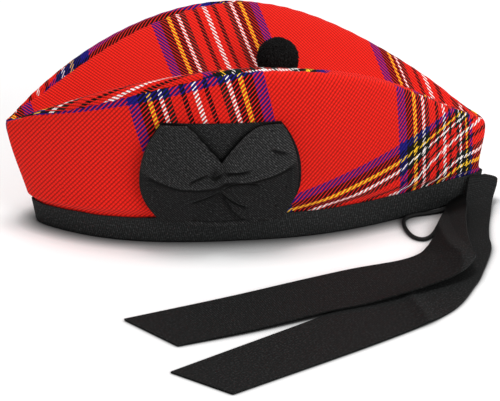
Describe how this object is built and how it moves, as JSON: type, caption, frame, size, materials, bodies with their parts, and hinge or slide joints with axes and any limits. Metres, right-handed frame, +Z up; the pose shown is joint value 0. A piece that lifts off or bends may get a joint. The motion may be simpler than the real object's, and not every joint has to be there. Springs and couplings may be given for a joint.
{
  "type": "tartan glengarry cap",
  "caption": "Boat-shaped wool cap in red tartan with a creased crown, black ribbon binding, side cockade, wool toorie and ribbon tails at the back.",
  "frame": {"origin": "middle of the head opening, in the plane that the cap rests on", "axes": "+X towards the back of the cap, -X towards its pointed front, -Y the wearer's left side with the cockade, +Z up"},
  "size_m": [0.2864, 0.2666, 0.1113],
  "materials": {
    "tartan": "twill woven wool, matt",
    "ribbon": "grosgrain ribbon, dull sheen",
    "wool": "clipped wool yarn, matt",
    "elastic": "braided round elastic, matt"
  },
  "bodies": {
    "root": {"side_left": "tartan", "side_right": "tartan", "crown_top": "tartan", "headband": "ribbon", "cockade_back": "ribbon", "cockade_bow": "ribbon", "toorie": "wool", "ribbon_tail_upper": "ribbon", "ribbon_tail_lower": "ribbon", "elastic_loop": "elastic"}
  },
  "joints": []
}
